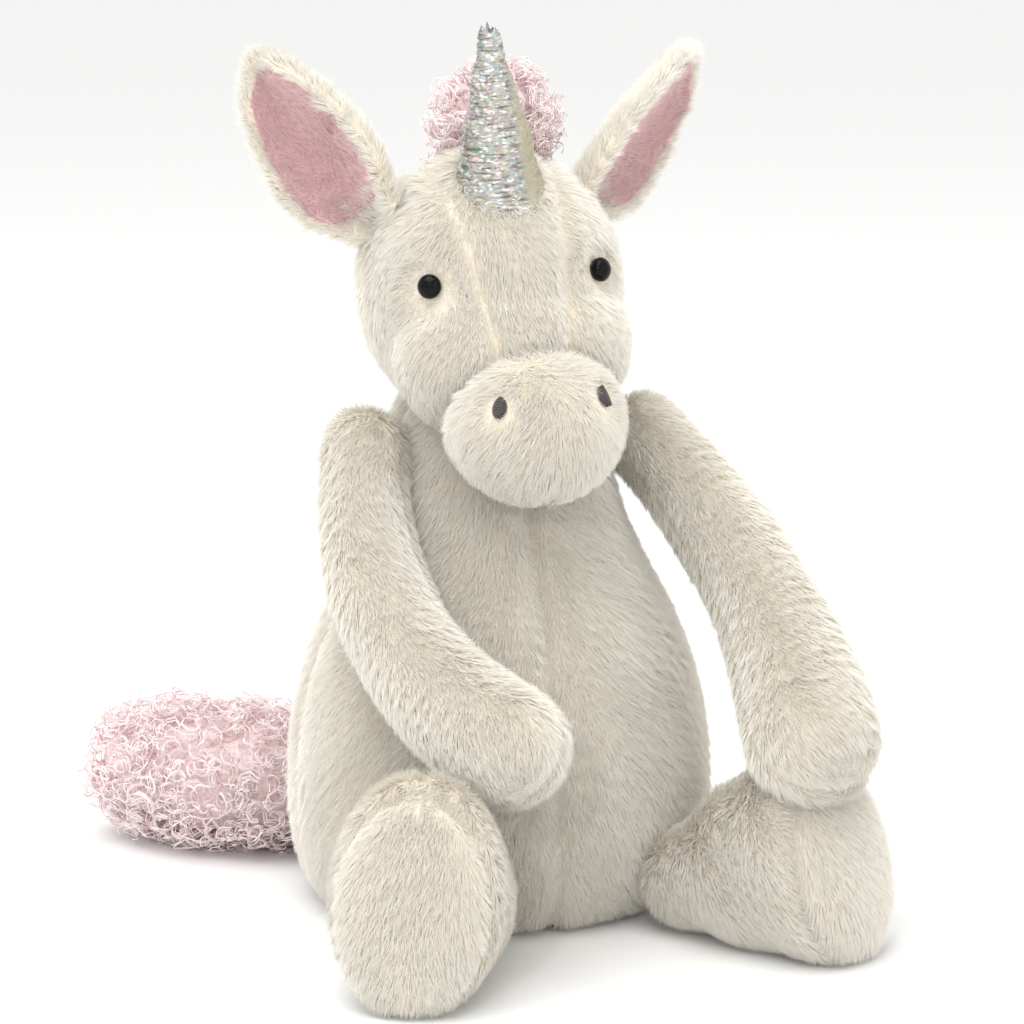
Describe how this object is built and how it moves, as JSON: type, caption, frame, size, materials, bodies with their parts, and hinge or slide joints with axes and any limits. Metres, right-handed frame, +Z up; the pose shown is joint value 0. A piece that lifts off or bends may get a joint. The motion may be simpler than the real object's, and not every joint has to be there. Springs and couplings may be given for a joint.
{
  "type": "plush unicorn",
  "caption": "Seated plush unicorn with weighted seat, soft jointed head, arms, legs, ears and tail, and a sewn cone horn.",
  "frame": {"origin": "middle of the seat's flat base panel, on the surface the toy sits on", "axes": "+Z up, the toy faces -Y, and its left side is +X"},
  "size_m": [0.1805, 0.2192, 0.2318],
  "materials": {
    "cream_plush": "off-white long pile plush",
    "pink_velour": "short pile pink velour with a satin sheen",
    "pink_curly_yarn": "glossy curly pink yarn loops",
    "silver_lame": "crinkled iridescent silver lame",
    "eye_plastic": "polished black",
    "nostril_thread": "satin stitched dark brown thread",
    "filling_fibre": "loose polyester fibre",
    "pellet_cloth": "plain woven pouch of pellets",
    "washer_nylon": "natural nylon",
    "woven_tape": "plain woven cotton tape"
  },
  "bodies": {
    "torso": {"body_front_left_panel": "cream_plush", "body_front_right_panel": "cream_plush", "body_back_left_panel": "cream_plush", "body_back_right_panel": "cream_plush", "base_panel": "cream_plush", "body_stuffing": "filling_fibre", "pellet_bag": "pellet_cloth"},
    "neck": {"neck_stuffing": "filling_fibre"},
    "head": {"head_left_panel": "cream_plush", "head_right_panel": "cream_plush", "head_gusset": "cream_plush", "head_stuffing": "filling_fibre", "left_eye": "eye_plastic", "right_eye": "eye_plastic", "left_eye_washer": "washer_nylon", "right_eye_washer": "washer_nylon", "muzzle_top_panel": "cream_plush", "muzzle_left_panel": "cream_plush", "muzzle_right_panel": "cream_plush", "muzzle_stuffing": "filling_fibre", "left_nostril_stitching": "nostril_thread", "right_nostril_stitching": "nostril_thread", "forelock": "pink_curly_yarn", "mane_strip": "pink_curly_yarn"},
    "horn": {"horn_shell": "silver_lame", "horn_stuffing": "filling_fibre"},
    "left_ear": {"left_ear_outer": "cream_plush", "left_ear_lining": "pink_velour"},
    "right_ear": {"right_ear_outer": "cream_plush", "right_ear_lining": "pink_velour"},
    "left_arm": {"left_arm_outer_panel": "cream_plush", "left_arm_inner_panel": "cream_plush", "left_arm_stuffing": "filling_fibre", "left_paw_pouch": "pellet_cloth"},
    "right_arm": {"right_arm_outer_panel": "cream_plush", "right_arm_inner_panel": "cream_plush", "right_arm_stuffing": "filling_fibre", "right_paw_pouch": "pellet_cloth"},
    "left_leg": {"left_leg_outer_panel": "cream_plush", "left_leg_inner_panel": "cream_plush", "left_sole": "cream_plush", "left_leg_stuffing": "filling_fibre", "left_foot_pouch": "pellet_cloth"},
    "right_leg": {"right_leg_outer_panel": "cream_plush", "right_leg_inner_panel": "cream_plush", "right_sole": "cream_plush", "right_leg_stuffing": "filling_fibre", "right_foot_pouch": "pellet_cloth"},
    "tail_root": {"tail_stub": "cream_plush"},
    "tail": {"tail_yarn": "pink_curly_yarn", "tail_tape": "woven_tape"}
  },
  "joints": [
    {"name": "neck_turn", "type": "hinge", "parent": "torso", "child": "neck", "pos_m": [0, 0.006, 0.126], "axis": [0, 0, 1], "range_deg": [-25, 25]},
    {"name": "neck_nod", "type": "hinge", "parent": "neck", "child": "head", "pos_m": [0, 0.006, 0.126], "axis": [1, 0, 0], "range_deg": [-25, 4]},
    {"name": "horn_bend", "type": "hinge", "parent": "head", "child": "horn", "pos_m": [-0.00416, -0.01186, 0.19408], "axis": [0.9981, 0, 0.0611], "range_deg": [-8, 8], "stiffness_Nm_per_rad": 0.02},
    {"name": "left_ear_fold", "type": "hinge", "parent": "head", "child": "left_ear", "pos_m": [0.02447, 0.00393, 0.18819], "axis": [0.349, 0.6964, -0.6271], "range_deg": [-20, 20], "stiffness_Nm_per_rad": 0.02},
    {"name": "right_ear_fold", "type": "hinge", "parent": "head", "child": "right_ear", "pos_m": [-0.03187, 0.00393, 0.18475], "axis": [-0.2997, 0.712, -0.6351], "range_deg": [-20, 20], "stiffness_Nm_per_rad": 0.02},
    {"name": "left_shoulder", "type": "hinge", "parent": "torso", "child": "left_arm", "pos_m": [0.03866, -0.003, 0.1235], "axis": [-0.5026, -0.8645, 0], "range_deg": [0, 70]},
    {"name": "right_shoulder", "type": "hinge", "parent": "torso", "child": "right_arm", "pos_m": [-0.03766, -0.003, 0.1235], "axis": [-0.5026, 0.8645, 0], "range_deg": [0, 70]},
    {"name": "left_hip", "type": "hinge", "parent": "torso", "child": "left_leg", "pos_m": [0.03773, -0.04829, 0.01412], "axis": [-0.788, -0.6157, 0], "range_deg": [-75, 0]},
    {"name": "right_hip", "type": "hinge", "parent": "torso", "child": "right_leg", "pos_m": [-0.03027, -0.05243, 0.01412], "axis": [-0.866, 0.5, 0], "range_deg": [-75, 0]},
    {"name": "tail_swing", "type": "hinge", "parent": "torso", "child": "tail_root", "pos_m": [0, 0.05333, 0.02], "axis": [0, 0, 1], "range_deg": [-60, 0]},
    {"name": "tail_lift", "type": "hinge", "parent": "tail_root", "child": "tail", "pos_m": [-0.0025, 0.06833, 0.02], "axis": [0.38, 0.925, 0], "range_deg": [0, 27]}
  ]
}
